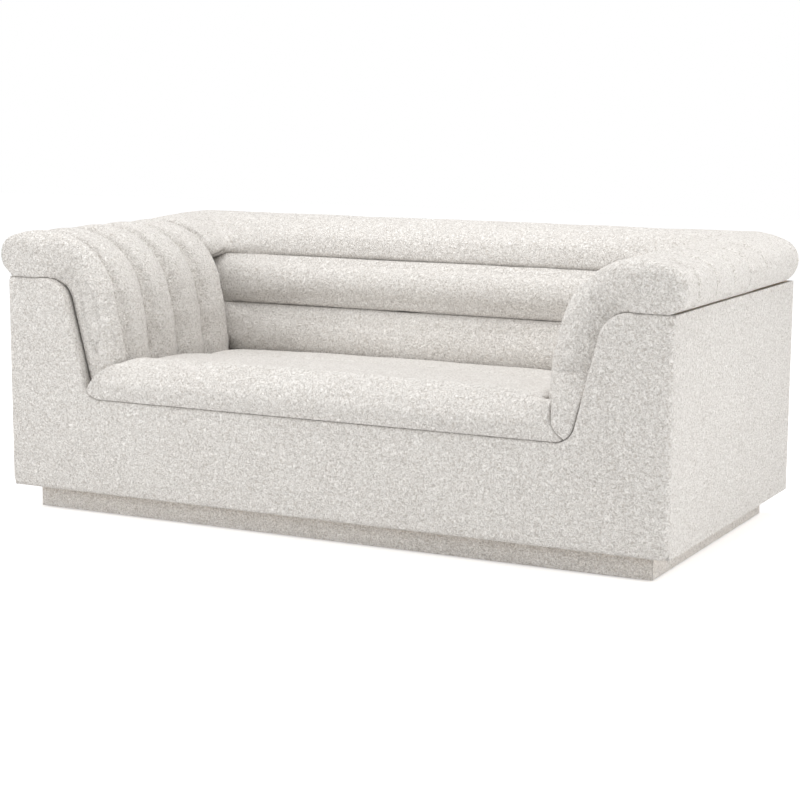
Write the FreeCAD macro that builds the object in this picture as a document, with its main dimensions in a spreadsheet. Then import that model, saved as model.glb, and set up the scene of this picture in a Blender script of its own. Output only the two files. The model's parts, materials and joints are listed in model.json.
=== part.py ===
import FreeCAD, Part
import math
import os

import Sketcher

# A tuxedo sofa: a box-shaped body on a set-back plinth, with arms and back of one height.
# The arms carry padded channels that run up their inner faces and over the top to a rolled
# nose, the back carries level channels under a roll, and a U-shaped panel closes the front.
# X runs across the sofa, the front faces -Y, Z is up and the floor is at zero.

doc = FreeCAD.newDocument("TuxedoSofa")
sheet = doc.addObject("Spreadsheet::Sheet", "Sizes")

SIZES = (
    ("body_width", 1850, "over the outside faces of the arms, noses not counted"),
    ("body_depth", 938, "front panel to back panel, back nose not counted"),
    ("overall_height", 750, "floor to the crest of arms and back"),
    ("plinth_height", 66, "floor to the underside of the body"),
    ("plinth_inset", 54, "plinth set back from the body on all sides"),
    ("nose_under", 124, "crest to the top edge of the panels, under the nose"),
    ("arm_front_width", 167, "front panel beside the seat, measured at its top edge"),
    ("panel_lean", 14.5, "lean of the panel's inner edge, in degrees"),
    ("shoulder_radius", 75, "rounded shoulder of the front panel"),
    ("seat_corner_radius", 50, "rounded corner of the panel beside the seat"),
    ("seat_seam", 316, "top edge of the panel under the seat"),
    ("panel_depth", 40, "front panel stands this far in front of the arm pads"),
    ("front_seam", 10, "front of the sofa to the seams at its sides"),
    ("outer_corner_radius", 13, "upper outer corners of the front panel"),
    ("lower_corner_radius", 22, "lower outer corners of the front panel"),
    ("nose_overhang", 30, "nose past the side and back panels"),
    ("nose_radius", 55, "roll of the nose"),
    ("nose_turn", 16, "slope of the top where it meets the nose, in degrees"),
    ("corner_radius", 100, "nose seen from above, at the back corners"),
    ("pad_reach", 325, "outer face to the crown of the inner face"),
    ("face_radius", 600, "slow curve of the inner face above the seat"),
    ("face_drop", 330, "crest to the height where the inner face starts to curve"),
    ("face_turn", 17.5, "lean of the inner face where the top roll starts, in degrees"),
    ("pad_bottom", 265, "lower end of the arm and back pads"),
    ("front_channel", 86, "front panel to the first groove of the arm"),
    ("front_crown", 50, "front panel to the crown of the front channel, on top of the arm"),
    ("front_roll_drop", 34, "front edge of the front channel below its crown, on top of the arm"),
    ("front_face_roll", 32, "rounded front of the front channel, beside the seat"),
    ("front_groove_drop", 12, "first groove below the crown of the front channel, beside the seat"),
    ("set_back_end", 50, "the front channel comes forward from here up its roll, in degrees"),
    ("flush_start", 88, "and is level with the front panel from here, in degrees"),
    ("front_nose_roll", 18, "rounded front edge of the nose"),
    ("channel_count", 4, "even channels of an arm, behind its front channel"),
    ("corner_reach", 332, "last groove of an arm to the back panel"),
    ("groove_depth", 22, "crown of a channel above its grooves"),
    ("back_groove_drop", 236, "crest to the lower groove of the back"),
    ("back_pitch", 138, "groove to groove up the back"),
    ("roll_blend", 50, "where the back roll's front joins its top, in degrees"),
    ("seat_front_height", 418, "seat top at the front, beside the arms"),
    ("seat_back_height", 374, "seat top at the back, beside the arms"),
    ("seat_crown", 9, "rise of the seat top in the middle"),
    ("seat_end_turn", 58, "left end of the seat leaves the panel's corner here, in degrees"),
    ("seat_end_reach", 332, "outer face to where the left end of the seat reaches its top"),
    ("seat_end_swell", 12, "rounding of the left end of the seat"),
    ("lap_turn", 30, "right end of the seat leaves the panel's corner here, in degrees"),
    ("lap_reach", 297, "outer face to the right end of the seat, where the arm laps over it"),
    ("lap_height", 363, "lower end of that upright stretch"),
    ("lap_swell", 4, "hollow of the right end of the seat below it"),
    ("lap_top", 480, "the arm's lap over the seat has drawn back to the pad's front here"),
    ("lap_flush", 400, "and is level with the front panel up to here"),
    ("lap_rounding", 16, "rounded inner edge of the lap"),
    ("seat_front_radius", 52, "rounded front edge of the seat"),
    ("seat_seam_first", 165, "front of the seat to its first seam"),
    ("seat_seam_pitch", 265, "first seam of the seat to the second"),
    ("seat_seam_depth", 4, "sewn seams of the seat below its crown"),
    ("seat_pad_thin", 24, "seat pad at its thinnest, at the back"),
    ("cloth_gap", 0.3, "soft pieces lie this far from their neighbours"),
    ("cover_thickness", 10, "padded cover of the sides and the back"),
    ("cover_wrap", 6, "front cover folded round the edge of its board"),
    ("board", 18, "plywood of ribs and front boards"),
    ("shell", 12, "bent plywood under the pads"),
    ("base_thickness", 27, "timber of the base frame"),
    ("base_rail_width", 70, "base rails seen from above"),
    ("seat_rail_width", 40, "front and back seat rails seen from above"),
    ("seat_rail_height", 60, "front and back seat rails seen from the front"),
    ("deck_height", 250, "top of the rails that carry the webbing"),
    ("sill_width", 95, "side rail of the seat deck"),
    ("sill_height", 38, "side rail of the seat deck"),
    ("web_width", 60, "elastic webbing"),
    ("web_thickness", 1.8, "elastic webbing"),
    ("long_web_count", 9, "straps from front to back"),
    ("cross_web_count", 4, "straps from side to side"),
    ("felt_thickness", 3, "felt between webbing and foam"),
    ("plinth_cover", 5, "padded cover of the plinth"),
    ("glide_height", 4, "glides under the plinth"),
    ("glide_radius", 14, "glides under the plinth"),
    ("block_leg", 62, "corner blocks inside the plinth"),
    ("dust_cloth", 1.2, "cloth under the base"),
    ("rib_inset", 335, "outer faces of the arms to the outer back ribs"),
    ("web_rest", 12, "sill reaches this far in past the shell"),
    ("seat_rear_room", 8, "rounded rear edge of the seat, clear of the back"),
    ("foam_corner", 20, "eased front edge of the seat foam"),
    ("window_outer", 60, "cut-outs of ribs and arm boards, from the outer face"),
    ("window_inner", 130, "cut-outs of ribs and arm boards, from the outer face"),
    ("window_low", 180, "cut-outs of ribs and arm boards"),
    ("window_high", 520, "cut-outs of ribs and arm boards"),
)
for row, (name, value, note) in enumerate(SIZES, start=1):
    sheet.set("A%d" % row, name)
    sheet.set("B%d" % row, str(value))
    sheet.setAlias("B%d" % row, name)
    sheet.set("C%d" % row, note)
doc.recompute()


class Size:
    """A size with its value and the expression of sheet names that gives it."""

    def __init__(self, value, text):
        self.value = float(value)
        self.text = text

    def __add__(self, other):
        other = as_size(other)
        return Size(self.value + other.value, "(%s + %s)" % (self.text, other.text))

    def __sub__(self, other):
        other = as_size(other)
        return Size(self.value - other.value, "(%s - %s)" % (self.text, other.text))

    def __mul__(self, other):
        other = as_size(other)
        return Size(self.value * other.value, "(%s * %s)" % (self.text, other.text))

    def __truediv__(self, other):
        other = as_size(other)
        return Size(self.value / other.value, "(%s / %s)" % (self.text, other.text))

    def __radd__(self, other):
        return as_size(other) + self

    def __rsub__(self, other):
        return as_size(other) - self

    def __rmul__(self, other):
        return as_size(other) * self

    def __neg__(self):
        return Size(-self.value, "(0 - %s)" % self.text)


def as_size(number):
    return number if isinstance(number, Size) else Size(number, "%.6g" % number)


def named(name):
    return Size(getattr(sheet, name), "Sizes." + name)


def sin(angle):
    return Size(math.sin(math.radians(angle.value)), "sin(%s)" % angle.text)


def cos(angle):
    return Size(math.cos(math.radians(angle.value)), "cos(%s)" % angle.text)


def tan(angle):
    return Size(math.tan(math.radians(angle.value)), "tan(%s)" % angle.text)


def root(size):
    return Size(math.sqrt(size.value), "sqrt(%s)" % size.text)


def bind(obj, path, size):
    obj.setExpression(path, as_size(size).text)


# Places that many pieces share, all worked out from the sheet.
half_width = named("body_width") / 2
y_front = -(named("body_depth") + named("nose_overhang")) / 2
y_back = y_front + named("body_depth")
gap = named("cloth_gap")
cover = named("cover_thickness")
board = named("board")
shell = named("shell")
plinth_top = named("plinth_height")
base_top = plinth_top + named("base_thickness")
deck = named("deck_height")
panel_back = y_front + named("panel_depth")
board_front = panel_back - board
frame_side = half_width - cover
frame_back = y_back - cover
panel_top = named("overall_height") - named("nose_under")
face_start = named("overall_height") - named("face_drop")
back_groove = named("overall_height") - named("back_groove_drop")
seat_pad_under = named("seat_back_height") - named("seat_pad_thin")
channel_stretch = named("body_depth") - named("front_channel") - named("corner_reach")
channel_pitch = channel_stretch / named("channel_count")
rib_place = half_width - named("rib_inset")
cross_place = rib_place / 2
lean = named("panel_lean")
half_turn = (90 - lean) / 2
parts = []


# The edge of the front panel is also the line that the pads lie on, in the arms and in the
# back. It is drawn in two numbers: the distance in from the outer face, and the height.
def shoulder(offset):
    """Start, end and radius of the shoulder, set off from the panel's edge."""
    corner = named("arm_front_width") + offset * (1 - sin(lean)) / cos(lean)
    top = panel_top + offset
    radius = named("shoulder_radius") + offset
    reach = radius * tan(half_turn)
    start = (corner - reach, top)
    end = (corner + reach * sin(lean), top - reach * cos(lean))
    return start, end, radius


def lean_at(offset, height):
    """Distance in from the outer face, on the leaning edge at a height."""
    corner = named("arm_front_width") + offset * (1 - sin(lean)) / cos(lean)
    return corner + (panel_top + offset - height) * tan(lean)


def seat_corner(offset):
    """Start, end and radius of the corner beside the seat, set off from the panel's edge."""
    height = named("seat_seam") + offset
    radius = named("seat_corner_radius") - offset
    reach = radius * tan(half_turn)
    corner = lean_at(offset, height)
    start = (corner - reach * sin(lean), height + reach * cos(lean))
    end = (corner + reach, height)
    return start, end, radius


# Sketch helpers. A point is (across, up); a corner given with a radius and a turn is reached
# by an arc, turning left for 1 and right for -1.
PLANES = {"plan": "XY_Plane", "front": "XZ_Plane", "side": "YZ_Plane"}


def origin_plane(body, plane):
    for feature in body.Origin.OriginFeatures:
        if feature.Role == PLANES[plane]:
            return feature


def arc_centre(first, last, radius, turn):
    chord = last - first
    height = math.sqrt(max(radius ** 2 - chord.Length ** 2 / 4, 0))
    left = FreeCAD.Vector(-chord.y, chord.x, 0).normalize()
    return (first + last) / 2 + left * height * turn


def draw(body, name, plane, outline, offset):
    """A closed outline on an origin plane, every point and radius bound to the sheet."""
    sketch = body.newObject("Sketcher::SketchObject", name)
    sketch.AttachmentSupport = (origin_plane(body, plane), [""])
    sketch.MapMode = "FlatFace"
    bind(sketch, ".AttachmentOffset.Base.z", offset)
    corners = [(as_size(item[0]), as_size(item[1])) for item in outline]
    places = [FreeCAD.Vector(across.value, up.value, 0) for across, up in corners]
    ends = []
    for index, item in enumerate(outline):
        first = places[index - 1]
        last = places[index]
        if len(item) == 2:
            ends.append((sketch.addGeometry(Part.LineSegment(first, last), False), 1, 2))
            continue
        radius = as_size(item[2])
        turn = item[3]
        centre = arc_centre(first, last, radius.value, turn)
        begin, finish = (first, last) if turn > 0 else (last, first)
        circle = Part.Circle(centre, FreeCAD.Vector(0, 0, 1), radius.value)
        start_angle = math.atan2(begin.y - centre.y, begin.x - centre.x)
        end_angle = math.atan2(finish.y - centre.y, finish.x - centre.x)
        edge = sketch.addGeometry(Part.ArcOfCircle(circle, start_angle, end_angle), False)
        ends.append((edge, 1, 2) if turn > 0 else (edge, 2, 1))
        rule = sketch.addConstraint(Sketcher.Constraint("Radius", edge, radius.value))
        bind(sketch, "Constraints[%d]" % rule, radius)
    for index, (across, up) in enumerate(corners):
        edge, _, tail = ends[index]
        following = ends[(index + 1) % len(ends)]
        sketch.addConstraint(Sketcher.Constraint("Coincident", edge, tail, following[0], following[1]))
        for kind, size in (("DistanceX", across), ("DistanceY", up)):
            rule = sketch.addConstraint(Sketcher.Constraint(kind, -1, 1, edge, tail, size.value))
            bind(sketch, "Constraints[%d]" % rule, size)
    return sketch


def rectangle(left, right, low, high):
    return [(left, low), (right, low), (right, high), (left, high)]


def board_piece(label, plane, outline, start, thickness, windows=()):
    """A flat piece cut to an outline: it starts at a place along the axis and runs towards plus."""
    body = doc.addObject("PartDesign::Body", label)
    body.Label = label
    offset = -start if plane == "front" else start
    pad = body.newObject("PartDesign::Pad", label + "_pad")
    pad.Profile = draw(body, label + "_outline", plane, outline, offset)
    pad.Reversed = plane == "front"
    bind(pad, "Length", thickness)
    for number, window in enumerate(windows, start=1):
        doc.recompute()
        pocket = body.newObject("PartDesign::Pocket", "%s_window_%d" % (label, number))
        pocket.Profile = draw(body, "%s_cut_%d" % (label, number), plane, window, offset)
        pocket.Reversed = plane != "front"
        bind(pocket, "Length", thickness)
    parts.append(body)
    return body


def coded_piece(label, shape):
    """A piece whose shape is made directly from the sheet's sizes."""
    piece = doc.addObject("Part::Feature", label)
    piece.Label = label
    piece.Shape = shape
    piece.Placement = FreeCAD.Placement()
    parts.append(piece)
    return piece


def mirrored(outline, side):
    """An outline drawn as distance in from the outer face, put on one arm."""
    return [(side * (half_width - item[0]),) + tuple(item[1:3]) + tuple(-side * t for t in item[3:])
            for item in outline]


def both_halves(outline):
    """The right half of an outline, drawn from the outer face in, with its mirror image added."""
    right = mirrored(outline, 1)
    left = []
    for index in range(len(right) - 1, -1, -1):
        bend = right[index + 1][2:] if index + 1 < len(right) else ()
        left.append((-right[index][0], right[index][1]) + bend)
    return right + left


SIDES = (("left", -1), ("right", 1))


# Plinth: four boards set back under the body, cross rails, corner blocks and glides.
plinth_side = half_width - named("plinth_inset") - named("plinth_cover")
plinth_front = y_front + named("plinth_inset") + named("plinth_cover")
plinth_back = y_back - named("plinth_inset") - named("plinth_cover")
glide = named("glide_height")


def make_plinth():
    height = plinth_top - glide
    inner = plinth_side - board
    board_piece("plinth_front_board", "plan",
                rectangle(-plinth_side, plinth_side, plinth_front, plinth_front + board), glide, height)
    board_piece("plinth_back_board", "plan",
                rectangle(-plinth_side, plinth_side, plinth_back - board, plinth_back), glide, height)
    for name, side in SIDES:
        near, far = sorted((side * inner, side * plinth_side), key=lambda size: size.value)
        board_piece("plinth_%s_board" % name, "plan",
                    rectangle(near, far, plinth_front + board, plinth_back - board), glide, height)
        middle = side * cross_place
        board_piece("plinth_cross_rail_%s" % name, "plan",
                    rectangle(middle - board / 2, middle + board / 2,
                              plinth_front + board, plinth_back - board), glide, height)


def block_places():
    """Inner corners of the plinth and of its cross rails, with the way each block points."""
    low = (plinth_front + board).value
    high = (plinth_back - board).value
    corner = (plinth_side - board).value
    cross = (cross_place - board / 2).value
    places = []
    for x in (corner, cross):
        for side in (-1, 1):
            places.append((side * x, low, -side, 1))
            places.append((side * x, high, -side, -1))
    return places


def make_blocks_and_glides():
    """Three-sided blocks in the corners, each with a round glide under it."""
    leg = sheet.block_leg
    height = sheet.plinth_height - sheet.glide_height
    blocks = []
    glides = []
    for x, y, along_x, along_y in block_places():
        corner = FreeCAD.Vector(x, y, sheet.glide_height)
        first = corner + FreeCAD.Vector(along_x * leg, 0, 0)
        second = corner + FreeCAD.Vector(0, along_y * leg, 0)
        wire = Part.makePolygon([corner, first, second, corner])
        blocks.append(Part.Face(wire).extrude(FreeCAD.Vector(0, 0, height)))
        middle = (corner + first + second) / 3
        glides.append(Part.makeCylinder(sheet.glide_radius, sheet.glide_height,
                                        FreeCAD.Vector(middle.x, middle.y, 0)))
    coded_piece("plinth_corner_blocks", Part.makeCompound(blocks))
    coded_piece("glides", Part.makeCompound(glides))


def make_plinth_covers():
    """Padded cloth on the four outer faces of the plinth, mitred at the corners."""
    thick = named("plinth_cover")
    low = glide
    height = plinth_top - glide - gap
    out_x = plinth_side + thick
    out_front = plinth_front - thick
    out_back = plinth_back + thick
    near = plinth_side + gap
    front = plinth_front - gap
    back = plinth_back + gap
    board_piece("plinth_cover_front", "plan",
                [(-out_x + gap, out_front), (out_x - gap, out_front), (near, front), (-near, front)],
                low, height)
    board_piece("plinth_cover_back", "plan",
                [(-near, back), (near, back), (out_x - gap, out_back), (-out_x + gap, out_back)],
                low, height)
    for name, side in SIDES:
        outline = [(side * near, front + gap), (side * out_x, out_front + gap),
                   (side * out_x, out_back - gap), (side * near, back - gap)]
        board_piece("plinth_cover_%s" % name, "plan", outline, low, height)


# Base frame: flat timbers on the plinth, out to the faces that the covers lie on.
def make_base():
    width = named("base_rail_width")
    thick = named("base_thickness")
    front_in = panel_back + width
    back_in = frame_back - width
    board_piece("base_front_rail", "plan",
                rectangle(-frame_side, frame_side, panel_back, front_in), plinth_top, thick)
    board_piece("base_back_rail", "plan",
                rectangle(-frame_side, frame_side, back_in, frame_back), plinth_top, thick)
    for name, side in SIDES:
        near, far = sorted((side * (frame_side - width), side * frame_side), key=lambda size: size.value)
        board_piece("base_%s_rail" % name, "plan", rectangle(near, far, front_in, back_in),
                    plinth_top, thick)
        middle = side * cross_place
        board_piece("base_cross_rail_%s" % name, "plan",
                    rectangle(middle - width / 2, middle + width / 2, front_in, back_in),
                    plinth_top, thick)


def make_dust_cloths():
    """A cloth in each bay of the plinth, stapled under the base frame, with its corners cut off."""
    corner = sheet.block_leg + 1
    low = (plinth_front + board + gap).value
    high = (plinth_back - board - gap).value
    side = (plinth_side - board - gap).value
    cross = cross_place.value
    half = (board / 2 + gap).value
    cloths = []
    for left, right in ((-side, -cross - half), (-cross + half, cross - half), (cross + half, side)):
        points = []
        for x, y, along_x, along_y in ((left, low, 1, 1), (right, low, -1, 1),
                                       (right, high, -1, -1), (left, high, 1, -1)):
            first = FreeCAD.Vector(x, y + along_y * corner, 0)
            second = FreeCAD.Vector(x + along_x * corner, y, 0)
            points += [first, second] if along_x == along_y else [second, first]
        outline = Part.makePolygon(points + points[:1])
        outline.translate(FreeCAD.Vector(0, 0, (plinth_top - gap).value - sheet.dust_cloth))
        cloths.append(Part.Face(outline).extrude(FreeCAD.Vector(0, 0, sheet.dust_cloth)))
    coded_piece("dust_cloths", Part.makeCompound(cloths))


# Front: three boards in the pocket of one padded U-shaped cover.
def make_front():
    wrap = named("cover_wrap") + gap
    start, end, radius = shoulder(-wrap)
    low_start, low_end, low_radius = seat_corner(-wrap)
    joint = low_end[0] + named("cover_wrap")
    arm_outline = [(cover, plinth_top), (cover, start[1]), start, end + (radius, -1), low_start,
                   low_end + (low_radius, 1), (joint, low_end[1]), (joint, plinth_top)]
    for name, side in SIDES:
        board_piece("%s_arm_front_board" % name, "front", mirrored(arm_outline, side),
                    board_front, board)
    joint_x = half_width - joint
    board_piece("seat_front_board", "front", rectangle(-joint_x, joint_x, plinth_top, low_end[1]),
                board_front, board)

    start, end, radius = shoulder(as_size(0))
    low_start, low_end, low_radius = seat_corner(as_size(0))
    outer = named("outer_corner_radius")
    lower = named("lower_corner_radius")
    top = panel_top
    right = [(lower, plinth_top), (0, plinth_top + lower, lower, -1), (0, top - outer),
             (outer, top, outer, -1), start, end + (radius, -1), low_start,
             low_end + (low_radius, 1)]
    body = board_piece("front_panel_cover", "front", both_halves(right), y_front, named("panel_depth"))
    doc.recompute()
    start, end, radius = shoulder(-named("cover_wrap"))
    low_start, low_end, low_radius = seat_corner(-named("cover_wrap"))
    past = as_size(-1)
    right = [(past, plinth_top + past), (past, top - past), (cover, top - past), (cover, start[1]),
             start, end + (radius, -1), low_start, low_end + (low_radius, 1)]
    pocket = body.newObject("PartDesign::Pocket", "front_panel_pocket")
    pocket.Profile = draw(body, "front_panel_pocket_outline", "front", both_halves(right), -panel_back)
    bind(pocket, "Length", board + gap)
    pocket.Reversed = True
    edge = [(past, plinth_top + past), (past, top - past), (cover, top - past), (cover, plinth_top + past)]
    for name, side in SIDES:
        doc.recompute()
        notch = body.newObject("PartDesign::Pocket", "front_panel_%s_edge" % name)
        label = "front_panel_%s_edge_outline" % name
        notch.Profile = draw(body, label, "front", mirrored(edge, side), -panel_back)
        bind(notch, "Length", named("panel_depth") - named("front_seam"))
        notch.Reversed = True


# Seat deck: two rails and two sills hold the webbing, with felt and foam on top.
sill_in = lean_at(as_size(0), deck) + named("web_rest")
sill_out = sill_in - named("sill_width")
shell_foot = lean_at(-shell, deck)
rail_back = y_back - shell_foot


def make_deck():
    width = named("seat_rail_width")
    height = named("seat_rail_height")
    reach = half_width - sill_in
    board_piece("seat_front_rail", "front", rectangle(-reach, reach, deck - height, deck),
                panel_back, width)
    board_piece("seat_back_rail", "front", rectangle(-reach, reach, deck - height, deck),
                rail_back - width, width)
    for name, side in SIDES:
        near, far = sorted((side * (half_width - sill_in), side * (half_width - sill_out)),
                           key=lambda size: size.value)
        board_piece("%s_sill_rail" % name, "front",
                    rectangle(near, far, deck - named("sill_height"), deck),
                    panel_back, frame_back - board - panel_back)


def make_webbing():
    """Straps laid front to back, with straps from side to side over them."""
    width = sheet.web_width
    thick = sheet.web_thickness
    low_y = (panel_back + gap).value
    high_y = (y_back - lean_at(gap, deck)).value
    half_x = (half_width - lean_at(gap, deck)).value
    free = 2 * (half_width - sill_in).value
    pitch = free / sheet.long_web_count
    straps = []
    for index in range(int(sheet.long_web_count)):
        middle = -free / 2 + (index + 0.5) * pitch
        straps.append(Part.makeBox(width, high_y - low_y, thick,
                                   FreeCAD.Vector(middle - width / 2, low_y, sheet.deck_height)))
    coded_piece("seat_webbing_long", Part.makeCompound(straps))
    pitch = (high_y - low_y) / sheet.cross_web_count
    straps = []
    for index in range(int(sheet.cross_web_count)):
        middle = low_y + (index + 0.5) * pitch
        straps.append(Part.makeBox(2 * half_x, width, thick,
                                   FreeCAD.Vector(-half_x, middle - width / 2, sheet.deck_height + thick)))
    coded_piece("seat_webbing_cross", Part.makeCompound(straps))


seat_half = half_width - named("pad_reach") - gap
seat_rear = y_back - named("pad_reach") + named("groove_depth") - named("seat_rear_room")


def make_foam():
    low = deck + 2 * named("web_thickness") + gap
    felt = named("felt_thickness")
    board_piece("seat_felt", "plan", rectangle(-seat_half, seat_half, panel_back + gap, seat_rear),
                low, felt)
    corner = named("foam_corner")
    start = low + felt + gap
    front = panel_back + gap
    top = seat_pad_under - gap
    outline = [(front, start), (seat_rear, start), (seat_rear, top), (front + corner, top),
               (front, top - corner, corner, 1)]
    board_piece("seat_foam", "side", outline, -seat_half, 2 * seat_half)


# Arm frames: boards at the front, middle and back of each arm, under a bent plywood shell.
def make_arm_frame():
    start, end, radius = shoulder(-shell)
    middle_outline = [(cover, base_top), (cover, start[1]), start, end + (radius, -1),
                      (shell_foot, deck), (sill_out, deck), (sill_out, base_top)]
    window = [(named("window_outer"), named("window_low")), (named("window_outer"), named("window_high")),
              (named("window_inner"), named("window_high")), (named("window_inner"), named("window_low"))]
    out_start, out_end, out_radius = shoulder(as_size(0))
    foot = lean_at(as_size(0), deck)
    rear_outline = [(cover, base_top), (cover, out_start[1]), out_start, out_end + (out_radius, -1),
                    (foot, deck), (foot, base_top)]
    shell_outline = [(cover, start[1]), (cover, out_start[1]), out_start, out_end + (out_radius, -1),
                     (foot, deck), (shell_foot, deck), end, start + (radius, 1)]
    for name, side in SIDES:
        board_piece("%s_arm_middle_board" % name, "front", mirrored(middle_outline, side),
                    as_size(0), board, [mirrored(window, side)])
        board_piece("%s_arm_rear_board" % name, "front", mirrored(rear_outline, side),
                    frame_back - board, board, [mirrored(window, side)])
        board_piece("%s_arm_shell" % name, "front", mirrored(shell_outline, side),
                    panel_back, frame_back - board - panel_back)


def seen_from_side(outline):
    """An outline drawn as distance in from the outer face, put on the back of the sofa."""
    return [(y_back - item[0],) + tuple(item[1:3]) + tuple(-turn for turn in item[3:])
            for item in outline]


def make_back_frame():
    start, end, radius = shoulder(-shell)
    rib_outline = [(cover, base_top), (cover, start[1]), start, end + (radius, -1),
                   (shell_foot, deck), (shell_foot, base_top)]
    window = [(named("window_outer"), named("window_low")), (named("window_outer"), named("window_high")),
              (named("window_inner"), named("window_high")), (named("window_inner"), named("window_low"))]
    for name, side in (("left", -1), ("middle", 0), ("right", 1)):
        place = side * rib_place - board / 2
        board_piece("back_rib_%s" % name, "side", seen_from_side(rib_outline), place, board,
                    [seen_from_side(window)])
    out_start, out_end, out_radius = shoulder(as_size(0))
    foot = lean_at(as_size(0), deck)
    shell_outline = [(cover, start[1]), (cover, out_start[1]), out_start, out_end + (out_radius, -1),
                     (foot, deck), (shell_foot, deck), end, start + (radius, 1)]
    reach = half_width - lean_at(gap, deck)
    board_piece("back_shell", "side", seen_from_side(shell_outline), -reach, 2 * reach)


def make_body_covers():
    top = panel_top
    thick = cover - gap
    for name, side in SIDES:
        start = frame_side + gap if side > 0 else -half_width
        board_piece("%s_side_cover" % name, "side",
                    rectangle(y_front + named("front_seam") + gap, y_back, plinth_top, top), start, thick)
    reach = frame_side
    board_piece("back_cover", "front", rectangle(-reach, reach, plinth_top, top),
                frame_back + gap, thick)


# Crown line of the pads, the same for arms and back: a straight foot, a slow curve, a roll
# over the crest, a gentle slope outwards and a round nose.
turn_start = named("face_turn")
roll_start = (named("pad_reach") - named("face_radius") * (1 - cos(turn_start)),
              face_start + named("face_radius") * sin(turn_start))
roll_radius = (named("overall_height") - roll_start[1]) / (1 - sin(turn_start))
crest = roll_start[0] - roll_radius * cos(turn_start)
nose_in = named("nose_radius") - named("nose_overhang")
nose_up = panel_top + gap + named("nose_radius")


def crown_at(height):
    """Distance in from the outer face, on the crown line at a height."""
    if height.value < roll_start[1].value:
        rise = height - face_start
        return named("pad_reach") - named("face_radius") + root(named("face_radius") * named("face_radius")
                                                                - rise * rise)
    rise = height - (named("overall_height") - roll_radius)
    return crest + root(roll_radius * roll_radius - rise * rise)


def on_circle(across, up, radius, angle):
    """A point on a circle, the angle in degrees from straight in towards straight up."""
    return (across + radius * math.cos(math.radians(angle)), up + radius * math.sin(math.radians(angle)))


def slope_arc():
    """Gentle slope from the crest out to the nose, as its start, middle and end."""
    end = on_circle(nose_in.value, nose_up.value, sheet.nose_radius, 90 + sheet.nose_turn)
    middle = (crest.value + end[0]) / 2
    return (crest.value, sheet.overall_height), (middle, slope_height(middle)), end


def slope_height(across):
    """Height of the slope at a distance in from the outer face: an arc that is level at the crest."""
    end = on_circle(nose_in.value, nose_up.value, sheet.nose_radius, 90 + sheet.nose_turn)
    run = crest.value - end[0]
    fall = sheet.overall_height - end[1]
    radius = (run ** 2 + fall ** 2) / (2 * fall)
    return sheet.overall_height - radius + math.sqrt(radius ** 2 - (crest.value - across) ** 2)


def values(point):
    return (point[0].value, point[1].value)


def wire_of(strokes, place):
    """A closed wire from strokes of two points, a line, or three points, an arc."""
    edges = []
    for stroke in strokes:
        points = [place(*point) for point in stroke]
        if len(points) == 2:
            edges.append(Part.LineSegment(*points).toShape())
        else:
            edges.append(Part.Arc(*points).toShape())
    return Part.Wire(edges)


def arc_middle(start, end, radius, turn):
    first = FreeCAD.Vector(start[0], start[1], 0)
    last = FreeCAD.Vector(end[0], end[1], 0)
    centre = arc_centre(first, last, radius, turn)
    out = ((first + last) / 2 - centre).normalize()
    point = centre + out * radius
    return (point.x, point.y)


def under_pad():
    """The pad's own side of the shoulder, from the nose in and down to the pad's foot."""
    start, end, radius = shoulder(gap)
    start = values(start)
    end = values(end)
    bend = arc_middle(start, end, radius.value, -1)
    foot = (lean_at(gap, named("pad_bottom")).value, sheet.pad_bottom)
    return start, bend, end, foot


def channel_profile(index):
    """Cross-section of an arm channel: its front end and how far that lies below the crown, the
    crown, its rear end and how far that lies below the crown."""
    groove = y_front.value + sheet.front_channel
    if index == 1:
        front = (panel_back + gap).value
        crown = front + sheet.front_face_roll
        return front, sheet.front_face_roll, crown, groove - sheet.cloth_gap / 2, sheet.front_groove_drop
    front = groove + (index - 2) * channel_pitch.value + sheet.cloth_gap / 2
    rear = groove + (index - 1) * channel_pitch.value - sheet.cloth_gap / 2
    return front, sheet.groove_depth, (front + rear) / 2, rear, sheet.groove_depth


def top_profile(index):
    """The same over the crest, where the front channel is level with the front panel."""
    front, drop, crown, rear, rear_drop = channel_profile(index)
    if index > 1:
        return front, drop, crown, rear, rear_drop
    front = y_front.value
    return front, sheet.front_roll_drop, front + sheet.front_crown, rear, sheet.groove_depth


def nose_profile(index):
    """The same at the nose, where the grooves have run out and only the front edge is round."""
    front, _, crown, rear, _ = top_profile(index)
    if index == 1:
        return front, sheet.front_nose_roll, front + sheet.front_nose_roll, rear, 0
    return front, 0, crown, rear, 0


def mixed(first, second, share):
    """A cross-section part of the way from one to another."""
    return [low + (high - low) * share for low, high in zip(first, second)]


CROWN_STEPS = 6


def crown_points(crown, end, drop, top):
    """Points down the arc from the crown of a channel to one of its ends, level at the crown."""
    run = end - crown
    if drop == 0:
        return [(top, crown + run * step / CROWN_STEPS) for step in range(CROWN_STEPS + 1)]
    radius = (run ** 2 + drop ** 2) / (2 * drop)
    turn = math.asin(min(abs(run) / radius, 1))
    points = []
    for step in range(CROWN_STEPS + 1):
        angle = turn * step / CROWN_STEPS
        along = math.copysign(radius, run) * math.sin(angle)
        points.append((top - radius * (1 - math.cos(angle)), crown + along))
    return points


def channel_wire(profile, base, top, place):
    """Closed cross-section of a channel between its base, inside the arm, and its crown."""
    front, front_drop, crown, rear, rear_drop = profile
    rise = crown_points(crown, front, front_drop, top)[::-1]
    fall = crown_points(crown, rear, rear_drop, top)
    outline = [(base, front)] + rise + fall[1:] + [(base, rear), (base, front)]
    return Part.makePolygon([place(*point) for point in outline])


FACE_STEPS = 2
ROLL_STEPS = 8
SLOPE_STEPS = 3
BASE_RADIUS = 60


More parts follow.
